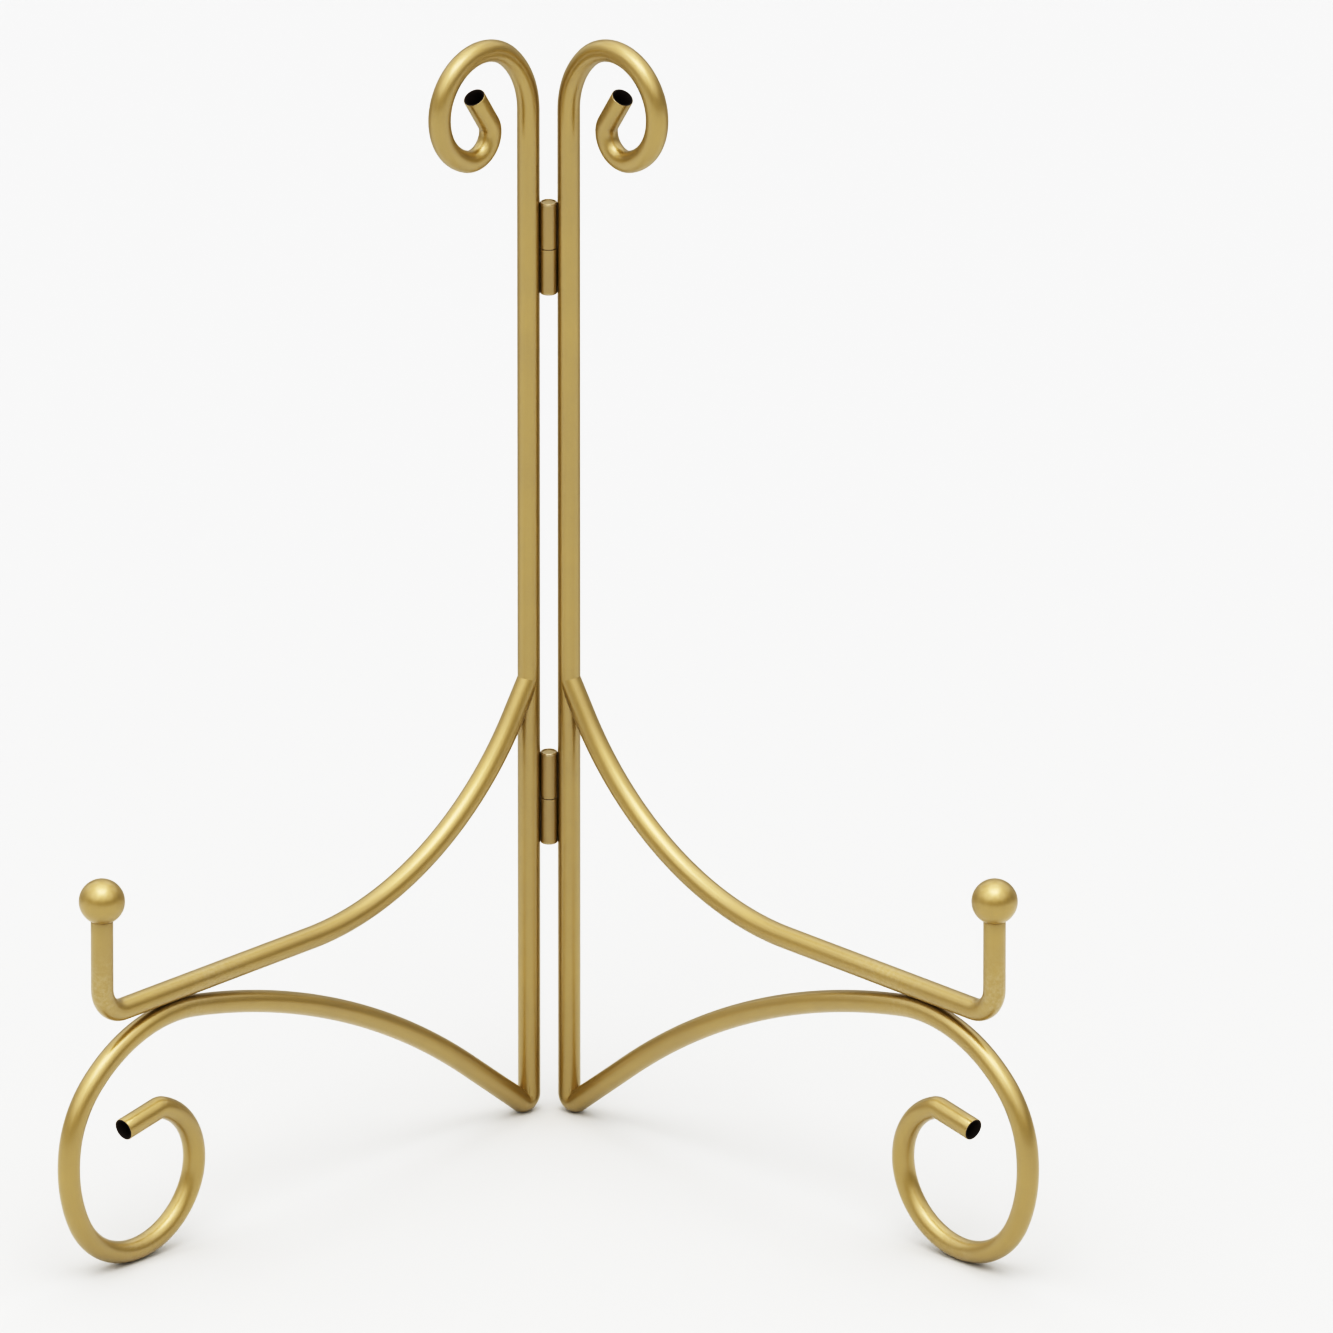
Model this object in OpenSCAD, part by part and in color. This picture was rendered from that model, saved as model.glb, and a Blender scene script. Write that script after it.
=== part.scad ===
// Folding display easel: two mirrored halves of bent metal tube on a pair of
// barrel hinges. Millimetres, +Z up, the display side faces -Y. The origin is
// on the floor under the middle of the easel's footprint.

/* [Tube] */

// Outside diameter of every tube
tube_d = 5.9; // [5:0.1:6.5]
// Wall thickness of every tube
tube_wall = 0.5; // [0.4:0.1:1.2]

/* [Stance] */

// Angle between the two halves as the easel stands, in degrees
opening = 90; // [80:2:110]
// Distance between the two post axes across the hinge
post_spacing = 10.5; // [9.5:0.1:12]

/* [Post] */

// Height at which the post stops being straight and starts to curl
post_height = 278.3; // [260:0.1:320]
// Overall size of the curl at the top of the post
top_scroll_scale = 1; // [0.9:0.05:1.3]

/* [Foot] */

// Overall size of the scroll that touches the floor
foot_scroll_scale = 1; // [0.9:0.05:1.05]
// Length of the long shallow rise from the heel to the arch
foot_rise_length = 111.5; // [106:0.5:116]

/* [Display arm] */

// Distance from the post axis to the upturned lip
arm_reach = 156.4; // [145:0.1:165]
// Height of the lip tube above the arm's axis
lip_height = 27; // [18:0.1:40]
// Radius of the long sweep from the post down into the level arm
arm_sweep_r = 88; // [75:1:92]
// Angle that the sweep turns through
arm_sweep_angle = 57.7; // [55:0.1:59]
// Diameter of the ball on each lip
ball_d = 12.1; // [9:0.1:14]

/* [Hinges] */

// Height of the seam between the knuckles of the upper hinge
upper_seam_z = 239.8; // [200:0.1:250]
// Height of the seam between the knuckles of the lower hinge
lower_seam_z = 85.4; // [60:0.1:95]
// Length of each knuckle
knuckle_length = 12.8; // [8:0.1:20]
// Gap between each knuckle and the posts beside it
knuckle_gap = 0.06; // [0.05:0.01:0.2]

/* [Hidden] */

satin_gold = "#b99b5b";
bright_gold = "#c9ad70";
weld_gold = "#a88a4c";

tube_r = tube_d / 2;
bore_r = tube_r - tube_wall;
tube_sides = 24;
bore_sides = 12;
chord_error = 0.12;
max_step = 12;
round_fn = 64;
eps = 0.01;

// Every bent tube lies in one upright plane. A station on its axis is
// [distance out from the post axis, height, heading], with the heading in
// degrees from straight up, turning outwards. A bend is [radius, angle], and
// a straight run is [length, 0].

heel_bend_r = 2;
heel_turn_out = 51;

top_scroll = [for (b = [[23, 47], [15, 202], [6.6, 109.5]])
  [b[0] * top_scroll_scale, b[1]]];
top_tip = [[4.8, 33], [9.9, 0]];

foot_start_run = 24.8;
foot_rise_angle = 28.5;
foot_rise_r = (foot_rise_length / foot_rise_angle) * 180 / PI;
foot_arch = [[42.5, 55]];
foot_scroll = [for (b = [[28, 37], [37.8, 34.5], [22.6, 95], [21, 33.4], [18.1, 95]])
  [b[0] * foot_scroll_scale, b[1]]];
foot_tip = [[3.5, 31.5], [12.3, 0]];

lip_bend_r = 7.6;
arm_neck = 10.8;
arm_rest_gap = 0.03;

function steps_in(bend) = bend[1] == 0 ? 1
  : ceil(abs(bend[1]) / min(max_step, 2 * acos(1 - chord_error / bend[0])));

function along(p, bend, t) =
  bend[1] == 0
  ? [p[0] + t * bend[0] * sin(p[2]), p[1] + t * bend[0] * cos(p[2]), p[2]]
  : let (side = sign(bend[1]), turned = p[2] + t * bend[1])
    [p[0] + side * bend[0] * (cos(p[2]) - cos(turned)),
     p[1] + side * bend[0] * (sin(turned) - sin(p[2])),
     turned];

function stations(bends, p, i = 0) = i == len(bends) ? [p]
  : let (n = steps_in(bends[i]))
    concat([for (k = [0 : n - 1]) along(p, bends[i], k / n)],
           stations(bends, along(p, bends[i], 1), i + 1));

// The foot leaves the heel bend at the heading that lets its scroll touch
// the floor together with the heel.
function foot_stations(heading) = stations(
  concat([[foot_start_run, 0], [foot_rise_r, foot_rise_angle]],
         foot_arch, foot_scroll, foot_tip),
  [heel_bend_r * (1 + cos(heading)), heel_bend_r * (1 - sin(heading)), heading]);

function lowest_outboard(path) =
  let (far = [for (p = path) if (p[0] > arm_reach / 2) p],
       low = min([for (p = far) p[1]]))
  [for (p = far) if (p[1] == low) p][0];

function settled(heading, n = 4) = n == 0 ? heading
  : let (p = lowest_outboard(foot_stations(heading)))
    settled(heading + atan(p[1] / p[0]), n - 1);

foot_heading = settled(heel_turn_out);
foot_path = foot_stations(foot_heading);
heel_turn = 180 - foot_heading;
heel_half_angle = foot_heading / 2;

post_path = stations(
  concat([[post_height - heel_bend_r, 0]], top_scroll, top_tip),
  [0, heel_bend_r, 0]);

arch_top = max([for (p = foot_path) p[1]]);
arm_z = arch_top + tube_d + arm_rest_gap;
lip_end_z = arm_z + lip_height;
arm_flat = arm_reach - lip_bend_r - arm_sweep_r * sin(arm_sweep_angle)
  - arm_neck * cos(arm_sweep_angle);
arm_path = stations(
  [[lip_height - lip_bend_r, 0], [lip_bend_r, 90], [arm_flat, 0],
   [arm_sweep_r, arm_sweep_angle], [arm_neck, 0]],
  [arm_reach, lip_end_z, 180]);

ball_r = ball_d / 2;
ball_seat = sqrt(ball_r * ball_r - tube_r * tube_r);
spigot_r = bore_r - 0.2;
spigot_length = 5;

knuckle_r = post_spacing / 2 - tube_r - knuckle_gap;
knuckle_wall = 0.45;
end_chamfer = 0.26;
seam_chamfer = 0.08;
seam_gap = 0.16;
running_clearance = 0.05;
staked_clearance = 0.02;
pin_r = knuckle_r - knuckle_wall - running_clearance;
pin_recess = 0.15;
pin_chamfer = 0.1;

weld_r = 0.6;
weld_sink = 0.15;
weld_length = knuckle_length - 3.4;
to_knuckle = knuckle_r + weld_r - weld_sink;
to_post = tube_r + weld_r - weld_sink;
weld_along = (to_knuckle * to_knuckle - to_post * to_post
  + post_spacing * post_spacing / 4) / post_spacing;
weld_aside = sqrt(to_knuckle * to_knuckle - weld_along * weld_along);

// Each half stands out from the hinge axis at half the opening, with its
// post offset sideways so that the halves fold flat against each other.
half_open = opening / 2;
post_offset = post_spacing / 2 * cos(45);
reach = max([for (p = foot_path) p[0]]);
post_back = post_offset * (sin(half_open) - cos(half_open)) + tube_r;
front_edge = post_back - 2 * tube_r - reach * cos(half_open);
back_edge = max(post_back, knuckle_r);
hinge_y = -(front_edge + back_edge) / 2;

module left_half() {
  translate([0, hinge_y, tube_r]) rotate([0, 0, 270 - half_open]) children();
}

module right_half() {
  mirror([1, 0, 0]) left_half() children();
}

module at_post() {
  translate([post_offset, -post_offset, 0]) children();
}

// How far a point on an end ring slides along the tube to meet its neighbour.
// "heel above" and "heel below" stop at the plane that halves the heel's
// angle, and "saddle" wraps round the post.
function slide(cut, c, y, heading) =
  cut == "heel above" ? max(0, (c - heel_bend_r) / tan(heel_half_angle))
  : cut == "heel below" ? max(0, (-c - heel_bend_r) / tan(heel_half_angle))
  : cut == "saddle" ? (sqrt(max(0, tube_r * tube_r - y * y)) - c * cos(heading)) / sin(heading)
  : 0;

function ring(p, r, sides, cut) = [
  for (j = [0 : sides - 1])
    let (a = 360 * j / sides, c = r * cos(a), y = r * sin(a), d = slide(cut, c, y, p[2]))
    [p[0] + c * cos(p[2]) + d * sin(p[2]), y, p[1] - c * sin(p[2]) + d * cos(p[2])]
];

function skin(path, r, sides, first_cut, last_cut) =
  let (last = len(path) - 1)
  [for (k = [0 : last])
    each ring(path[k], r, sides, k == 0 ? first_cut : k == last ? last_cut : "")];

function skin_faces(count, sides, from, inward) = [
  for (k = [0 : count - 2], j = [0 : sides - 1])
    let (n = (j + 1) % sides, a = from + k * sides, b = a + sides)
    inward ? [a + j, a + n, b + n, b + j] : [a + j, b + j, b + n, a + n]
];

// An open end: the flat rim between the outside and the bore.
function rim_faces(outer, inner, facing_back) = [
  for (j = [0 : bore_sides - 1])
    let (o0 = outer + 2 * j, o1 = o0 + 1, o2 = outer + (2 * j + 2) % tube_sides,
         i0 = inner + j, i1 = inner + (j + 1) % bore_sides)
    each facing_back
      ? [[i0, o0, o1], [i0, o1, i1], [i1, o1, o2]]
      : [[i0, o1, o0], [i0, i1, o1], [i1, o2, o1]]
];

module tube(path, first_cut = "", last_cut = "") {
  count = len(path);
  inner = count * tube_sides;
  polyhedron(
    points = concat(skin(path, tube_r, tube_sides, first_cut, last_cut),
                    skin(path, bore_r, bore_sides, first_cut, last_cut)),
    faces = concat(
      skin_faces(count, tube_sides, 0, false),
      skin_faces(count, bore_sides, inner, true),
      rim_faces(0, inner, true),
      rim_faces((count - 1) * tube_sides, inner + (count - 1) * bore_sides, false)),
    convexity = 10);
}

module post() {
  color(satin_gold) at_post() tube(post_path, first_cut = "heel above");
}

module foot() {
  color(satin_gold) at_post() tube(foot_path, first_cut = "heel below");
}

module arm() {
  color(satin_gold) at_post() tube(arm_path, last_cut = "saddle");
}

// The tight outside of the heel bend, a slice of a ring whose hole has
// closed up, hollow like the tubes that it joins.
module heel() {
  color(satin_gold) at_post()
    translate([heel_bend_r, 0, heel_bend_r]) rotate([90, 0, 0])
      rotate([0, 0, 180]) rotate_extrude(angle = heel_turn, $fn = round_fn)
        intersection() {
          translate([heel_bend_r, 0]) difference() {
            circle(r = tube_r, $fn = round_fn);
            circle(r = bore_r, $fn = round_fn);
          }
          translate([0, -tube_d]) square([2 * tube_d, 2 * tube_d]);
        }
}

module ball() {
  color(satin_gold) at_post() translate([arm_reach, 0, lip_end_z]) {
    translate([0, 0, ball_seat]) difference() {
      sphere(r = ball_r, $fn = round_fn);
      translate([-ball_r, -ball_r, -ball_r - ball_seat]) cube([ball_d, ball_d, ball_r]);
    }
    translate([0, 0, -spigot_length])
      cylinder(h = spigot_length + eps, r = spigot_r, $fn = round_fn);
  }
}

// A knuckle from its seam at z = 0 up to its free end, turned on a lathe.
module knuckle(clearance) {
  bore = pin_r + clearance;
  height = knuckle_length - seam_gap / 2;
  rotate_extrude($fn = round_fn) polygon([
    [bore, 0], [knuckle_r - seam_chamfer, 0], [knuckle_r, seam_chamfer],
    [knuckle_r, height - end_chamfer], [knuckle_r - end_chamfer, height],
    [bore, height],
  ]);
}

module top_knuckle(seam_z) {
  color(satin_gold) translate([0, 0, seam_z + seam_gap / 2]) knuckle(staked_clearance);
}

module bottom_knuckle(seam_z) {
  color(satin_gold) translate([0, 0, seam_z - seam_gap / 2]) mirror([0, 0, 1])
    knuckle(running_clearance);
}

module hinge_pin(seam_z) {
  half = knuckle_length - pin_recess;
  color(bright_gold) translate([0, 0, seam_z]) rotate_extrude($fn = round_fn) polygon([
    [0, -half], [pin_r - pin_chamfer, -half], [pin_r, pin_chamfer - half],
    [pin_r, half - pin_chamfer], [pin_r - pin_chamfer, half], [0, half],
  ]);
}

// A bead with round ends, in the groove behind a knuckle and its post.
module weld_bead() {
  rotate_extrude($fn = round_fn) intersection() {
    union() {
      translate([-weld_r, -weld_length / 2]) square([2 * weld_r, weld_length]);
      for (end = [-1, 1]) translate([0, end * weld_length / 2]) circle(r = weld_r, $fn = round_fn);
    }
    translate([0, -weld_length]) square([2 * weld_r, 2 * weld_length]);
  }
}

// side is 1 for the knuckles above the seams and -1 for those below.
module hinge_welds(side) {
  color(weld_gold) for (seam_z = [upper_seam_z, lower_seam_z])
    translate([0, 0, seam_z + side * knuckle_length / 2])
      rotate([0, 0, -45]) translate([weld_along, -weld_aside, 0]) weld_bead();
}

left_half() post();  // left_post
left_half() heel();  // left_heel
left_half() foot();  // left_foot
left_half() arm();  // left_arm
left_half() ball();  // left_ball
right_half() post();  // right_post
right_half() heel();  // right_heel
right_half() foot();  // right_foot
right_half() arm();  // right_arm
right_half() ball();  // right_ball
left_half() top_knuckle(upper_seam_z);  // upper_hinge_top_knuckle
right_half() bottom_knuckle(upper_seam_z);  // upper_hinge_bottom_knuckle
left_half() hinge_pin(upper_seam_z);  // upper_hinge_pin
left_half() top_knuckle(lower_seam_z);  // lower_hinge_top_knuckle
right_half() bottom_knuckle(lower_seam_z);  // lower_hinge_bottom_knuckle
left_half() hinge_pin(lower_seam_z);  // lower_hinge_pin
left_half() hinge_welds(1);  // left_hinge_welds
right_half() hinge_welds(-1);  // right_hinge_welds
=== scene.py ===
"""Folding display easel: satin gold tube, two mirrored halves on a pair of barrel hinges.

A tube is drawn in mm in the upright plane of its own half: s runs from the post towards the foot's
scroll, y is square to that plane, and z runs up from the centre line of the lowest tube. place_left()
and place_hinge() take points into the shared frame, in metres. The sizes repeat part.scad's, apart
from the radius of the barrels.
"""
import math
import random

import bpy
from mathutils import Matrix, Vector


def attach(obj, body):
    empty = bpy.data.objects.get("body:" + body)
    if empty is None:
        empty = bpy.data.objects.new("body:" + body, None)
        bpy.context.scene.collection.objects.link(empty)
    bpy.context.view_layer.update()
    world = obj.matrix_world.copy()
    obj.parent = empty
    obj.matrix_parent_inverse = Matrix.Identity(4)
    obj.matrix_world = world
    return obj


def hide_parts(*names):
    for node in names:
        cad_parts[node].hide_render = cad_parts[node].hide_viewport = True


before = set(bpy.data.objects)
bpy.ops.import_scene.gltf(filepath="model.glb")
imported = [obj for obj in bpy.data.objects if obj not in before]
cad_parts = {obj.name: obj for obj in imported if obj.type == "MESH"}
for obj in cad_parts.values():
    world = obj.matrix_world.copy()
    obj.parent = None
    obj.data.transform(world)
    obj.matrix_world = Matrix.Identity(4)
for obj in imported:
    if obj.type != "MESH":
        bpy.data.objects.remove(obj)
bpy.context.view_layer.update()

# ---------------------------------------------------------------- sizes, in mm until they are placed
MM = 0.001
TUBE_R, BORE_R = 2.95, 2.45
HALF_SPACING = 5.25         # from the hinges' axis to the centre line of a post
HINGE_Y = 59.673
PLANE_COS = math.sqrt(0.5)  # each half stands 45 degrees out from the middle plane
HEEL_R = 2.0
FOOT_HEADING = 51.039       # degrees from upright, where the foot leaves the heel
ARM_REACH = 156.4
LIP_END_Z = 95.764
LIP_BEND_Z = 76
TOUCH_S, TOUCH_Z = 118, 62.8  # where the arm lies on the foot's arch
BALL_R = 6.05
BALL_SUNK = 0.02            # how far the flat under the ball is let into the tube's end
PEG_R, PEG_LENGTH, PEG_CHAMFER = 2.25, 5, 0.2

# Tubes: columns round the outside and the bore, and the longest steps along a path.
SIDES, BORE_SIDES = 48, 24
STRAIGHT_STEP, ARC_STEP, TURN_STEP = 4, 1.3, 6

# An open end is rounded over its outer edge in two facets, and bevelled at the bore.
RIM_BEVEL, RIM_FACET, BORE_BEVEL = 0.14, 0.041, 0.08

# The barrels all but touch the posts, so that no light shows beside them. The CAD's have a radius
# of 2.24, which leaves room to turn.
KNUCKLE_R, PIN_R = 2.295, 1.74
KNUCKLE_LENGTH, SEAM_GAP, PIN_RECESS = 12.8, 0.16, 0.15
TOP_CLEARANCE, BOTTOM_CLEARANCE = 0.02, 0.05
RIM_ROLL, RIM_ROLL_STEPS, BORE_ROLL, SEAM_ROLL = 0.42, 8, 0.06, 0.07
RIM_BAND, SEAM_BAND = 0.8, 0.4  # scuffing and the painted highlight fade out this far from the rim and from the seam
PIN_ROLL, PIN_CROWN = 0.14, 0.03
SEAMS = {"upper": 239.8, "lower": 85.4}

BEAD_X, BEAD_Y = -2.213, 1.529
BEAD_HALF, BEAD_R = 4.7, 0.6
BEAD_STEPS, BEAD_SIDES = 90, 20

# A bend is (radius, degrees), a straight run is (length, 0).
TOP_CURL = [(276.3, 0), (23, 47), (15, 202), (6.6, 109.5), (4.8, 33), (9.9, 0)]
FOOT_CURL = [(24.8, 0), (224.16, 28.5), (42.5, 55), (28, 37), (37.8, 34.5), (22.6, 95),
             (21, 33.4), (18.1, 95), (3.5, 31.5), (12.3, 0)]
ARM_SWEEP = [(19.4, 0), (7.6, 90), (68.646, 0), (88, 57.7), (10.8, 0)]

# Material slots of a tube's mesh.
OUTSIDE, BORE = 0, 1

# ---------------------------------------------------------------- colours and grain
GOLD_TONE = (0.345, 0.228, 0.016)
# The barrels' gold is darker and more saturated, as painted shade for the groove between the posts.
HINGE_SHADE_TONE = (0.285, 0.178, 0.004)
WELD_TONE = (0.25, 0.165, 0.02)
# Bare metal where the paint is scuffed; on rims and seams it is also a painted highlight.
RUBBED_AND_HIGHLIGHT = (0.55, 0.47, 0.32, 1)
# The bore is bare steel, and its near-black is also painted shade for the dark inside the tube.
BORE_DARK_STEEL_AND_SHADE, BORE_LIGHT_STEEL_AND_SHADE = (0.016, 0.008, 0.005, 1), (0.045, 0.024, 0.013, 1)
FLOOR_NEAR, FLOOR_FAR = (0.69, 0.69, 0.68, 1), (0.69, 0.69, 0.69, 1)
# FLOOR_DIM is painted shade, seen behind the easel by every ray but the camera's.
FLOOR_DIM = (0.36, 0.34, 0.30, 1)

# Noise scales, in repeats per metre.
CLOUD, GLOSS_PATCH, BORE_PATCH, PEEL, SPECK, FLAKE = 42, 160, 420, 700, 900, 2600
DRAW_LINES = (9, 9, 0.05)  # per radius across the tube, and per mm along it

# ---------------------------------------------------------------- studio
LENS, SENSOR = 1700, 36
VIEW_TILT = 22.06           # degrees above level, looking along +Y
VIEW_WIDTH = 0.34658
VIEW_TARGET = (0.03069, 0, 0.14917)
FLOOR_HALF = 60

# Round soft boxes, far off: name, azimuth, elevation, half angle and brightness. Azimuth 0 is on the
# camera's side and 90 is +X.
HIGH_RING = (0.55, 0.6, 0.3, 0.45, 0.35, 0.45, 0.45, 0.75)
LOW_RING = (0.1, 0.06, 0.06, 0.15, 0.08, 0.35, 0.3, 0.2)
SOFT_BOXES = [("overhead", 0, 90, 25, 1.0), ("key", 0, 72, 20, 1.15)]
SOFT_BOXES += [(f"high_{45 * i}", 45 * i, 48, 27, power) for i, power in enumerate(HIGH_RING)]
SOFT_BOXES += [(f"low_{45 * i}", 45 * i, 15, 20, power) for i, power in enumerate(LOW_RING)]
FILL, BACKDROP = 0.3, 0.85
CONTRAST = 0.6


# ---------------------------------------------------------------- camera
def make_camera():
    """A long lens at the photograph's height, looking along +Y."""
    data = bpy.data.cameras.new("camera")
    data.lens, data.sensor_width = LENS, SENSOR
    data.dof.use_dof = False
    data.clip_start, data.clip_end = 0.1, 60
    cam = bpy.data.objects.new("camera", data)
    bpy.context.scene.collection.objects.link(cam)
    tilt = math.radians(VIEW_TILT)
    distance = VIEW_WIDTH / 2 / math.tan(math.atan(SENSOR / 2 / LENS))
    back = Vector((0, -math.cos(tilt), math.sin(tilt)))
    cam.location = Vector(VIEW_TARGET) + back * distance
    cam.rotation_mode = "QUATERNION"
    cam.rotation_quaternion = (-back).to_track_quat("-Z", "Y")
    bpy.context.scene.camera = cam


# ---------------------------------------------------------------- meshes
class Build:
    """Vertices, faces and point attributes of one piece, in mm."""

    def __init__(self):
        self.points, self.faces, self.slots = [], [], []
        self.tube, self.wear_and_highlight = [], []

    def point(self, p, tube, wear_and_highlight=0.0):
        """tube is the direction round the tube and the run along it; the last argument goes from 0 to
        1 and marks scuffed paint, and rims and seams that get a painted highlight.
        """
        self.points.append(p)
        self.tube.append(tube)
        self.wear_and_highlight.append(wear_and_highlight)
        return len(self.points) - 1

    def face(self, corners, slot=OUTSIDE):
        """One face, without the corners that coincide. A face that collapses is left out."""
        kept = [c for i, c in enumerate(corners) if c != corners[i - 1]]
        if len(set(kept)) == len(kept) >= 3:
            self.faces.append(kept)
            self.slots.append(slot)

    def band(self, a, b, slot=OUTSIDE):
        """Faces between two rings of the same number of points."""
        n = len(a)
        for j in range(n):
            k = (j + 1) % n
            self.face([a[j], b[j], b[k], a[k]], slot)

    def join(self, outer, inner, slot):
        """A flat rim from an outer ring to an inner one with half as many points."""
        n = len(inner)
        for j in range(n):
            o0, o1, o2 = outer[2 * j], outer[2 * j + 1], outer[(2 * j + 2) % len(outer)]
            i0, i1 = inner[j], inner[(j + 1) % n]
            self.face([o0, i0, o1], slot)
            self.face([o1, i0, i1], slot)
            self.face([o1, i1, o2], slot)


def place_left(p):
    """From the plane of the left half to the shared frame."""
    s, y, z = p
    return ((-HALF_SPACING - PLANE_COS * s + PLANE_COS * y) * MM,
            (HINGE_Y - PLANE_COS * s - PLANE_COS * y) * MM, (TUBE_R + z) * MM)


def place_hinge(p):
    """From the hinges' axis to the shared frame."""
    return (p[0] * MM, (HINGE_Y + p[1]) * MM, (TUBE_R + p[2]) * MM)


def to_object(name, build, place, mirrored, materials):
    """Places a build in the frame, mirrored to +X for the right half, and makes it an object."""
    points = [place(p) for p in build.points]
    faces = build.faces
    if mirrored:
        points = [(-x, y, z) for x, y, z in points]
        faces = [f[::-1] for f in faces]
    mesh = bpy.data.meshes.new(name)
    mesh.from_pydata(points, [], faces)
    for m in materials:
        mesh.materials.append(m)
    mesh.polygons.foreach_set("material_index", build.slots)
    mesh.polygons.foreach_set("use_smooth", [True] * len(faces))
    mesh.attributes.new("tube", "FLOAT_VECTOR", "POINT").data.foreach_set(
        "vector", [v for t in build.tube for v in t])
    mesh.attributes.new("wear_and_highlight", "FLOAT", "POINT").data.foreach_set("value", build.wear_and_highlight)
    mesh.validate()
    mesh.set_sharp_from_angle(angle=math.radians(50))
    ob = bpy.data.objects.new(name, mesh)
    bpy.context.scene.collection.objects.link(ob)
    return ob


# ---------------------------------------------------------------- bent tube
def along(p, bend, t):
    """The station a part t of the way along a bend that starts at station p."""
    s, z, h = p
    size, turn = bend
    if turn == 0:
        return (s + t * size * math.sin(h), z + t * size * math.cos(h), h)
    side, to = math.copysign(1, turn), h + t * math.radians(turn)
    return (s + side * size * (math.cos(h) - math.cos(to)),
            z + side * size * (math.sin(to) - math.sin(h)), to)


def stations(bends, start):
    """Stations (s, z, heading) along a chain of bends, close together where it turns."""
    path, p = [], start
    for bend in bends:
        size, turn = bend
        if turn == 0:
            n = max(1, round(size / STRAIGHT_STEP))
        else:
            arc = size * math.radians(abs(turn))
            n = max(3, math.ceil(arc / ARC_STEP), math.ceil(abs(turn) / TURN_STEP))
        path += [along(p, bend, k / n) for k in range(n)]
        p = along(p, bend, 1)
    return path + [p]


def frame_path():
    """Stations from the top curl's open end, down the post and round the heel to the foot's end.

    Also the range of the stations that are in the heel.
    """
    post = stations(TOP_CURL, (0, HEEL_R, 0))
    down = [(s, z, h + math.pi) for s, z, h in reversed(post)]
    heel = stations([(HEEL_R, FOOT_HEADING - 180)], (0, HEEL_R, math.pi))
    h = math.radians(FOOT_HEADING)
    foot = stations(FOOT_CURL, (HEEL_R * (1 + math.cos(h)), HEEL_R * (1 - math.sin(h)), h))
    heel_start = len(down) - 1
    return down[:-1] + heel + foot[1:], range(heel_start, heel_start + len(heel))


def section(build, p, r, sides, run, heel=None, slide=None, offset=0.0, wear_and_highlight=0.0):
    """One ring of radius r round station p.

    heel collects the crease points of the columns that lie inside the heel's bend, slide moves each
    point along the tube to fit what it meets, and offset moves the whole ring.
    """
    s, z, h = p
    ring = []
    for j in range(sides):
        a = 2 * math.pi * j / sides
        c, y = r * math.cos(a), r * math.sin(a)
        tube = (math.cos(a), math.sin(a), run)
        if heel is not None and -c > HEEL_R:
            if j not in heel:
                z_fold = HEEL_R + (-c - HEEL_R) / math.tan(math.radians(FOOT_HEADING / 2))
                heel[j] = build.point((-c, y, z_fold), tube, wear_and_highlight)
            ring.append(heel[j])
            continue
        at = offset + (slide(c, y, h) if slide else 0.0)
        q = (s + c * math.cos(h) + at * math.sin(h), y, z - c * math.sin(h) + at * math.cos(h))
        ring.append(build.point(q, tube, wear_and_highlight))
    return ring


def end_offset(k, last, ends, bevel):
    """How far ring k is drawn in from an open end, to leave room for the bevel."""
    if k == 0 and ends[0] == "open":
        return bevel
    if k == last and ends[1] == "open":
        return -bevel
    return 0.0


def close_end(build, p, run, at_start, is_open, outer, inner):
    """The wall's rim between the last rings of outside and bore, bevelled where the end is open."""
    if is_open:
        way = 1 if at_start else -1
        chain = [outer]
        # The bevel of an open end is marked fully, which paints it lighter: scuffed paint and a
        # painted highlight.
        for r, depth in ((TUBE_R - RIM_FACET, RIM_FACET), (TUBE_R - RIM_BEVEL, 0.0)):
            chain.append(section(build, p, r, SIDES, run, offset=way * depth, wear_and_highlight=1.0))
        lip = section(build, p, BORE_R + BORE_BEVEL, BORE_SIDES, run, wear_and_highlight=1.0)
        for a, b in zip(chain, chain[1:]):
            build.band(*((b, a) if at_start else (a, b)), OUTSIDE)
        build.band(*((inner, lip) if at_start else (lip, inner)), BORE)
        outer, inner = chain[-1], lip
    if at_start:
        outer = [outer[-i] for i in range(SIDES)]
        inner = [inner[-i] for i in range(BORE_SIDES)]
    build.join(outer, inner, BORE)


def sweep(build, path, wear_and_highlight, heel_span=range(0), ends=("open", "open"), saddle=None):
    """A hollow tube along path. The outside goes first, then the bore, then the end rims."""
    last = len(path) - 1
    runs = [0.0]
    for a, b in zip(path, path[1:]):
        runs.append(runs[-1] + math.hypot(b[0] - a[0], b[1] - a[1]))
    skins = []
    for r, sides, slot, bevel in ((TUBE_R, SIDES, OUTSIDE, RIM_BEVEL),
                                  (BORE_R, BORE_SIDES, BORE, BORE_BEVEL)):
        heel = {}
        rings = [section(build, p, r, sides, runs[k], heel=heel if k in heel_span else None,
                         slide=saddle if k == last else None,
                         offset=end_offset(k, last, ends, bevel), wear_and_highlight=wear_and_highlight(p))
                 for k, p in enumerate(path)]
        for a, b in zip(rings, rings[1:]):
            build.band(*((a, b) if slot == OUTSIDE else (b, a)), slot)
        skins.append(rings)
    outside, bore = skins
    close_end(build, path[0], runs[0], True, ends[0] == "open", outside[0], bore[0])
    close_end(build, path[-1], runs[-1], False, ends[1] == "open", outside[-1], bore[-1])


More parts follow.
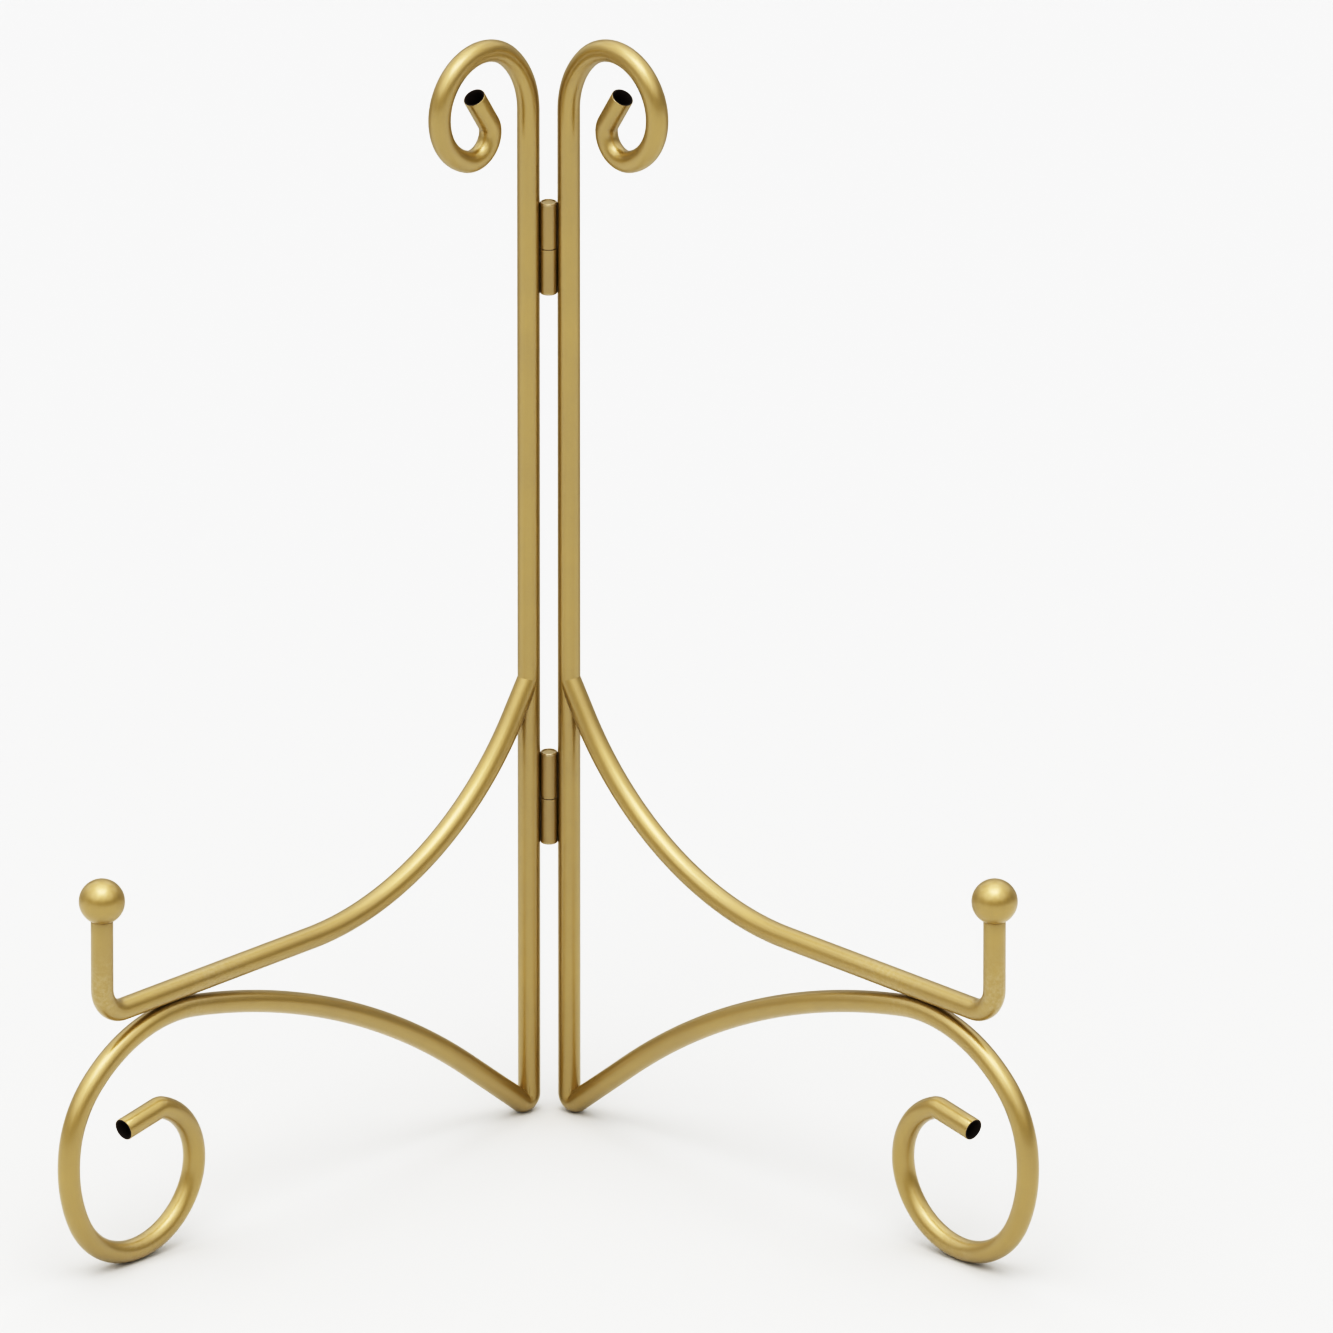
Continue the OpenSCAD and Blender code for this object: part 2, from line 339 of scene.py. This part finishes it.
def lathe(build, profile, sides, centre=(0, 0, 0), wear_and_highlight=None, closed=False):
    """Turns a profile of (radius, height) about the vertical. A radius of 0 closes it."""
    rings = []
    for i, (r, z) in enumerate(profile):
        w = wear_and_highlight[i] if wear_and_highlight else 0.0
        if r == 0:
            v = build.point((centre[0], centre[1], centre[2] + z), (0, 0, z), w)
            rings.append([v] * sides)
            continue
        ring = []
        for j in range(sides):
            a = 2 * math.pi * j / sides
            c, s = math.cos(a), math.sin(a)
            ring.append(build.point((centre[0] + r * c, centre[1] + r * s, centre[2] + z),
                                    (c, s, z), w))
        rings.append(ring)
    if closed:
        rings.append(rings[0])
    for a, b in zip(rings, rings[1:]):
        build.band(b, a)


def rounded(corner, a, b, r, n=3):
    """Points that round a right-angled corner of a profile, from the a side to the b side."""
    points = []
    for k in range(n + 1):
        t = k / n * math.pi / 2
        u, v = r * (1 - math.sin(t)), r * (1 - math.cos(t))
        points.append((corner[0] + a[0] * u + b[0] * v, corner[1] + a[1] * u + b[1] * v))
    return points


# ---------------------------------------------------------------- pieces
def near(value, centre, width):
    """1 at the centre, falling smoothly to nothing a few widths away."""
    return math.exp(-((value - centre) / width) ** 2)


def frame_tube(name, mirrored, materials):
    """Top curl, post, heel and foot as one tube, scuffed where it stands and where the arm lies."""
    build = Build()
    path, heel_span = frame_path()

    def wear_and_highlight(p):
        s, z, _ = p
        return max(near(z, 0, 1.5) * 0.4, near(s, TOUCH_S, 16) * near(z, TOUCH_Z, 2) * 0.5)

    sweep(build, path, wear_and_highlight, heel_span)
    return to_object(name, build, place_left, mirrored, materials)


def arm_tube(name, mirrored, materials):
    """Lip and arm as one tube, coped round the post at its upper end."""
    build = Build()

    def wear_and_highlight(p):
        s, z, _ = p
        return max(near(s, TOUCH_S, 20) * 0.5, near(s, ARM_REACH, 4) * near(z, LIP_BEND_Z, 12) * 0.6)

    def saddle(c, y, h):
        return (math.sqrt(max(0, TUBE_R ** 2 - y * y)) - c * math.cos(h)) / math.sin(h)

    sweep(build, stations(ARM_SWEEP, (ARM_REACH, LIP_END_Z, math.pi)), wear_and_highlight,
          ends=("open", "saddle"), saddle=saddle)
    return to_object(name, build, place_left, mirrored, materials)


def ball(name, mirrored, materials):
    """A turned ball with a flat seat on the tube's end and a peg inside it."""
    build = Build()
    seat = math.sqrt(BALL_R ** 2 - TUBE_R ** 2)
    low = math.asin(seat / BALL_R)
    steps = 48
    angles = [math.pi / 2 - (math.pi / 2 + low) * k / steps for k in range(1, steps + 1)]
    profile = [(0, seat + BALL_R)]
    profile += [(BALL_R * math.cos(t), seat + BALL_R * math.sin(t)) for t in angles]
    profile += [(TUBE_R - 0.05, -BALL_SUNK), (PEG_R, -BALL_SUNK), (PEG_R, PEG_CHAMFER - PEG_LENGTH),
                (PEG_R - PEG_CHAMFER, -PEG_LENGTH), (0, -PEG_LENGTH)]
    lathe(build, profile, 72, (ARM_REACH, 0, LIP_END_Z))
    return to_object(name, build, place_left, mirrored, materials)


def knuckle(name, seam, way, bore, materials):
    """A short barrel up or down from its seam, with a rolled rim and a crisp edge at the seam."""
    build = Build()
    near_z, far_z = SEAM_GAP / 2, KNUCKLE_LENGTH
    rim = rounded((bore, far_z), (0, -1), (1, 0), BORE_ROLL)
    rim += rounded((KNUCKLE_R, far_z), (-1, 0), (0, -1), RIM_ROLL, RIM_ROLL_STEPS)
    wall = [(KNUCKLE_R, far_z - RIM_BAND), (KNUCKLE_R, near_z + SEAM_BAND)]
    edge = rounded((KNUCKLE_R, near_z), (0, 1), (-1, 0), SEAM_ROLL)
    profile = rim + wall + edge + [(bore, near_z)]
    # The rim and the seam's edge are marked lighter: scuffed paint and a painted highlight.
    wear_and_highlight = [1.0] * len(rim) + [0.0] * len(wall) + [0.6] * len(edge) + [0.0]
    if way < 0:
        profile, wear_and_highlight = profile[::-1], wear_and_highlight[::-1]
    lathe(build, [(r, seam + way * z) for r, z in profile], 64, wear_and_highlight=wear_and_highlight, closed=True)
    return to_object(name, build, place_hinge, False, materials)


def pin(name, seam, materials):
    """The pin, with a very slightly crowned face a little below each end of the barrel."""
    build = Build()
    half = KNUCKLE_LENGTH - PIN_RECESS
    side = [(0, half), (0.8, half - PIN_CROWN / 3), (PIN_R - PIN_ROLL - 0.02, half - PIN_CROWN)]
    side += rounded((PIN_R, half - PIN_CROWN), (-1, 0), (0, -1), PIN_ROLL)[1:]
    profile = side + [(r, -z) for r, z in reversed(side)]
    lathe(build, [(r, z + seam) for r, z in profile], 48)
    return to_object(name, build, place_hinge, False, materials)


def welds(name, above, mirrored, materials):
    """A rippled bead in the groove behind each barrel of this half."""
    rng = random.Random(7 if above else 11)
    way = 1 if above else -1
    build = Build()
    for seam in SEAMS.values():
        bead(build, seam + way * KNUCKLE_LENGTH / 2, rng)
    return to_object(name, build, place_hinge, mirrored, materials)


def bead(build, height, rng):
    """One upright weld bead with round ends, rippled by each step of the torch."""
    reach = BEAD_HALF + BEAD_R
    phase, rings = rng.uniform(0, 6), []
    for k in range(BEAD_STEPS + 1):
        z = reach * math.cos(math.pi * k / BEAD_STEPS)
        over = max(0, abs(z) - BEAD_HALF)
        size = math.sqrt(max(0, BEAD_R * BEAD_R - over * over))
        if size < 1e-4:
            v = build.point((BEAD_X, BEAD_Y, height + z), (0, 0, z))
            rings.append([v] * BEAD_SIDES)
            continue
        ripple = 1 - 0.09 * (0.5 + 0.5 * math.cos(z * 7 + phase)) - rng.uniform(0, 0.02)
        ring = []
        for j in range(BEAD_SIDES):
            a = 2 * math.pi * j / BEAD_SIDES
            lean = 0.036 * math.sin(a) * size
            r = size * ripple * (1 - 0.03 * math.sin(3 * a + z * 2 + phase))
            p = (BEAD_X + r * math.cos(a), BEAD_Y + r * math.sin(a), height + z * 0.985 + lean)
            ring.append(build.point(p, (math.cos(a), math.sin(a), z)))
        rings.append(ring)
    for a, b in zip(rings, rings[1:]):
        build.band(b, a)


# ---------------------------------------------------------------- materials
class Nodes:
    """A small helper that adds nodes to a new material and wires them."""

    def __init__(self, name):
        self.material = bpy.data.materials.new(name)
        self.material.use_nodes = True
        self.tree = self.material.node_tree
        self.shader = self.tree.nodes["Principled BSDF"]

    def wire(self, value, socket):
        """Links a node's output to a socket, or sets the socket to a plain value."""
        if isinstance(value, bpy.types.NodeSocket):
            self.tree.links.new(value, socket)
        else:
            socket.default_value = value

    def shade(self, **sockets):
        """Wires the shader's own sockets; Base_Color stands for Base Color."""
        for key, value in sockets.items():
            self.wire(value, self.shader.inputs[key.replace("_", " ")])

    def add(self, kind, inputs=None, **settings):
        """A new node with its settings, and with its inputs wired."""
        node = self.tree.nodes.new(kind)
        for key, value in settings.items():
            setattr(node, key, value)
        for key, value in (inputs or {}).items():
            self.wire(value, node.inputs[key])
        return node

    def place(self):
        """Where a point is on the object, in metres."""
        return self.add("ShaderNodeTexCoord").outputs["Object"]

    def noise(self, vector, scale, detail, rough):
        return self.add("ShaderNodeTexNoise", {"Vector": vector, "Scale": scale, "Detail": detail,
                                               "Roughness": rough}).outputs["Fac"]

    def span(self, value, a, b, c, d):
        """value from a..b to c..d, clamped."""
        return self.add("ShaderNodeMapRange", {"Value": value, "From Min": a, "From Max": b,
                                               "To Min": c, "To Max": d}).outputs["Result"]

    def math(self, how, a, b):
        return self.add("ShaderNodeMath", {0: a, 1: b}, operation=how).outputs[0]

    def mix(self, factor, a, b):
        """Colour a where the factor is 0, and b where it is 1."""
        node = self.add("ShaderNodeMix", data_type="RGBA")
        values = {"Factor_Float": factor, "A_Color": a, "B_Color": b}
        for socket in node.inputs:
            if socket.identifier in values:
                self.wire(values[socket.identifier], socket)
        return next(o for o in node.outputs if o.identifier == "Result_Color")

    def bump(self, height, strength, distance):
        return self.add("ShaderNodeBump", {"Height": height, "Strength": strength,
                                           "Distance": distance}).outputs["Normal"]


def tint(tone, r, g, b):
    """A tone with its three channels scaled, as a colour."""
    return (tone[0] * r, tone[1] * g, tone[2] * b, 1)


def gold_paint(name, tone, rough=0.42, grain=1.0):
    """Satin metallic gold: metal flake in lacquer, faint draw lines along the tube, and lighter metal
    on marked edges: scuffed paint, and on rims and seams a painted highlight.
    """
    n = Nodes(name)
    where = n.place()
    tube = n.add("ShaderNodeAttribute", attribute_name="tube").outputs["Vector"]
    worn_and_highlight = n.add("ShaderNodeAttribute", attribute_name="wear_and_highlight").outputs["Fac"]
    lines = n.add("ShaderNodeMapping", {"Vector": tube, "Scale": DRAW_LINES}).outputs["Vector"]

    cloud = n.noise(where, CLOUD, 3, 0.55)
    flake = n.noise(where, FLAKE, 2, 0.6)
    streak = n.noise(lines, 1.0, 3, 0.6)
    speck = n.noise(where, SPECK, 3, 0.7)

    deep = tint(tone, 0.93, 0.92, 0.88)
    colour = n.mix(n.span(cloud, 0.3, 0.7, 0, 1), deep, tint(tone, 1.07, 1.07, 1.07))
    colour = n.mix(n.span(flake, 0.25, 0.75, 0, 0.35 * grain), colour, tint(tone, 1.12, 1.12, 1.15))
    colour = n.mix(n.span(streak, 0.35, 0.7, 0, 0.10), colour, deep)
    # Lighter speckled metal where marked: scuffed paint, and a painted highlight on rims and seams.
    rubbed_and_highlight = n.math("MULTIPLY", n.math("MULTIPLY", worn_and_highlight, worn_and_highlight), n.span(speck, 0.4, 0.65, 0, 1))
    colour = n.mix(n.math("MULTIPLY", rubbed_and_highlight, 0.7), colour, RUBBED_AND_HIGHLIGHT)

    gloss = n.span(n.noise(where, GLOSS_PATCH, 3, 0.6), 0.3, 0.7, rough - 0.03, rough + 0.04)
    gloss = n.math("ADD", gloss, n.span(streak, 0.3, 0.7, -0.02, 0.03))
    gloss = n.math("SUBTRACT", gloss, n.math("MULTIPLY", rubbed_and_highlight, 0.08))

    peel = n.noise(where, PEEL, 2, 0.5)
    height = n.math("ADD", n.math("MULTIPLY", peel, 0.6), n.math("MULTIPLY", flake, 0.25 * grain))
    height = n.math("ADD", height, n.math("MULTIPLY", streak, 0.35))
    n.shade(Base_Color=colour, Roughness=gloss, Normal=n.bump(height, 0.05, 0.00008),
            Metallic=0.8, Coat_Weight=1.0, Coat_Roughness=0.3, Coat_IOR=2.3)
    return n.material


def bore_material():
    """The unpainted inside of the tube: bare steel painted near-black, also as shade for the inside
    of the tube; a little lighter in patches.
    """
    n = Nodes("tube_bore")
    patch = n.noise(n.place(), BORE_PATCH, 4, 0.65)
    n.shade(Base_Color=n.mix(n.span(patch, 0.3, 0.75, 0, 1), BORE_DARK_STEEL_AND_SHADE, BORE_LIGHT_STEEL_AND_SHADE),
            Roughness=n.span(patch, 0.3, 0.7, 0.6, 0.8), Normal=n.bump(patch, 0.2, 0.0001),
            Metallic=0.3)
    return n.material


def floor_material():
    """Plain pale floor. Behind the easel its colour is painted darker, as shade, for every ray but
    the camera's, so reflections see it dimmer.
    """
    n = Nodes("studio_floor")
    behind = n.add("ShaderNodeSeparateXYZ", {"Vector": n.place()}).outputs["Y"]
    colour = n.mix(n.span(behind, -0.1, 0.6, 0, 1), FLOOR_NEAR, FLOOR_FAR)
    # Painted shade behind the easel, left out of the camera's view.
    dim = n.mix(n.span(behind, 0.05, 0.35, 0, 1), colour, FLOOR_DIM)
    seen = n.add("ShaderNodeLightPath").outputs["Is Camera Ray"]
    n.shade(Base_Color=n.mix(seen, dim, colour), Roughness=0.9, Specular_IOR_Level=0.1)
    return n.material


# ---------------------------------------------------------------- stage
def make_floor():
    size = FLOOR_HALF
    mesh = bpy.data.meshes.new("floor")
    mesh.from_pydata([(-size, -size, 0), (size, -size, 0), (size, size, 0), (-size, size, 0)], [],
                     [(0, 1, 2, 3)])
    mesh.materials.append(floor_material())
    floor = bpy.data.objects.new("floor", mesh)
    bpy.context.scene.collection.objects.link(floor)


def make_lights():
    """Soft boxes over and round the object, and a dim even fill, behind a plain pale backdrop."""
    scene = bpy.context.scene
    for name, azimuth, elevation, half, brightness in SOFT_BOXES:
        data = bpy.data.lights.new(name, "SUN")
        data.angle = math.radians(2 * half)
        data.energy = brightness * math.pi * math.sin(math.radians(half)) ** 2
        lamp = bpy.data.objects.new(name, data)
        a, e = math.radians(azimuth), math.radians(elevation)
        way = Vector((math.sin(a) * math.cos(e), -math.cos(a) * math.cos(e), math.sin(e)))
        lamp.rotation_mode = "QUATERNION"
        lamp.rotation_quaternion = (-way).to_track_quat("-Z", "Y")
        scene.collection.objects.link(lamp)

    # The object is lit by the fill; only the camera sees the backdrop.
    scene.world = bpy.data.worlds.new("studio")
    scene.world.use_nodes = True
    tree = scene.world.node_tree
    fill, plain = tree.nodes["Background"], tree.nodes.new("ShaderNodeBackground")
    for node, brightness in ((fill, FILL), (plain, BACKDROP)):
        node.inputs["Color"].default_value = (1, 1, 1, 1)
        node.inputs["Strength"].default_value = brightness
    mix = tree.nodes.new("ShaderNodeMixShader")
    tree.links.new(tree.nodes.new("ShaderNodeLightPath").outputs["Is Camera Ray"], mix.inputs[0])
    tree.links.new(fill.outputs[0], mix.inputs[1])
    tree.links.new(plain.outputs[0], mix.inputs[2])
    tree.links.new(mix.outputs[0], tree.nodes["World Output"].inputs["Surface"])


def to_linear(s):
    """From an sRGB display value to linear light."""
    return s / 12.92 if s <= 0.04045 else ((s + 0.055) / 1.055) ** 2.4


def set_contrast():
    """A gentle S-shaped tone curve that leaves black, mid grey and white where they are."""
    view = bpy.context.scene.view_settings
    view.view_transform = "Standard"
    view.use_curve_mapping = True
    combined = view.curve_mapping.curves[3]
    for i in range(1, 10):
        s = i / 10
        steeper = s - CONTRAST / (2 * math.pi) * math.sin(2 * math.pi * s)
        combined.points.new(to_linear(s), to_linear(steeper))
    view.curve_mapping.update()


# ---------------------------------------------------------------- assembly
def add(ob, body, slot, *nodes):
    """Rides a piece on its body, in place of CAD nodes."""
    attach(ob, body)
    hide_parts(*nodes)


def main():
    make_camera()
    paint = gold_paint("gold_paint", GOLD_TONE)
    # The barrels get the darker gold, which is painted shade.
    barrel = gold_paint("hinge_gold", HINGE_SHADE_TONE)
    weld = gold_paint("weld_gold", WELD_TONE, 0.46, 1.6)
    bore = bore_material()

    for side, mirrored in (("left", False), ("right", True)):
        body = side + "_frame"
        add(frame_tube(side + "_frame_tube", mirrored, [paint, bore]), body, "gold_paint",
            side + "_post", side + "_heel", side + "_foot")
        add(arm_tube(side + "_arm_tube", mirrored, [paint, bore]), body, "gold_paint",
            side + "_arm")
        add(ball(side + "_ball_end", mirrored, [paint]), body, "gold_paint", side + "_ball")
        add(welds(side + "_weld_beads", side == "left", mirrored, [weld]), body, "gold_paint",
            side + "_hinge_welds")

    for which, seam in SEAMS.items():
        hinge = which + "_hinge_"
        add(knuckle(which + "_barrel_top", seam, 1, PIN_R + TOP_CLEARANCE, [barrel]),
            "left_frame", "hinge_gold", hinge + "top_knuckle")
        add(knuckle(which + "_barrel_bottom", seam, -1, PIN_R + BOTTOM_CLEARANCE, [barrel]),
            "right_frame", "hinge_gold", hinge + "bottom_knuckle")
        add(pin(which + "_pin", seam, [paint]), "left_frame", "hinge_gold", hinge + "pin")

    make_floor()
    make_lights()
    set_contrast()


main()
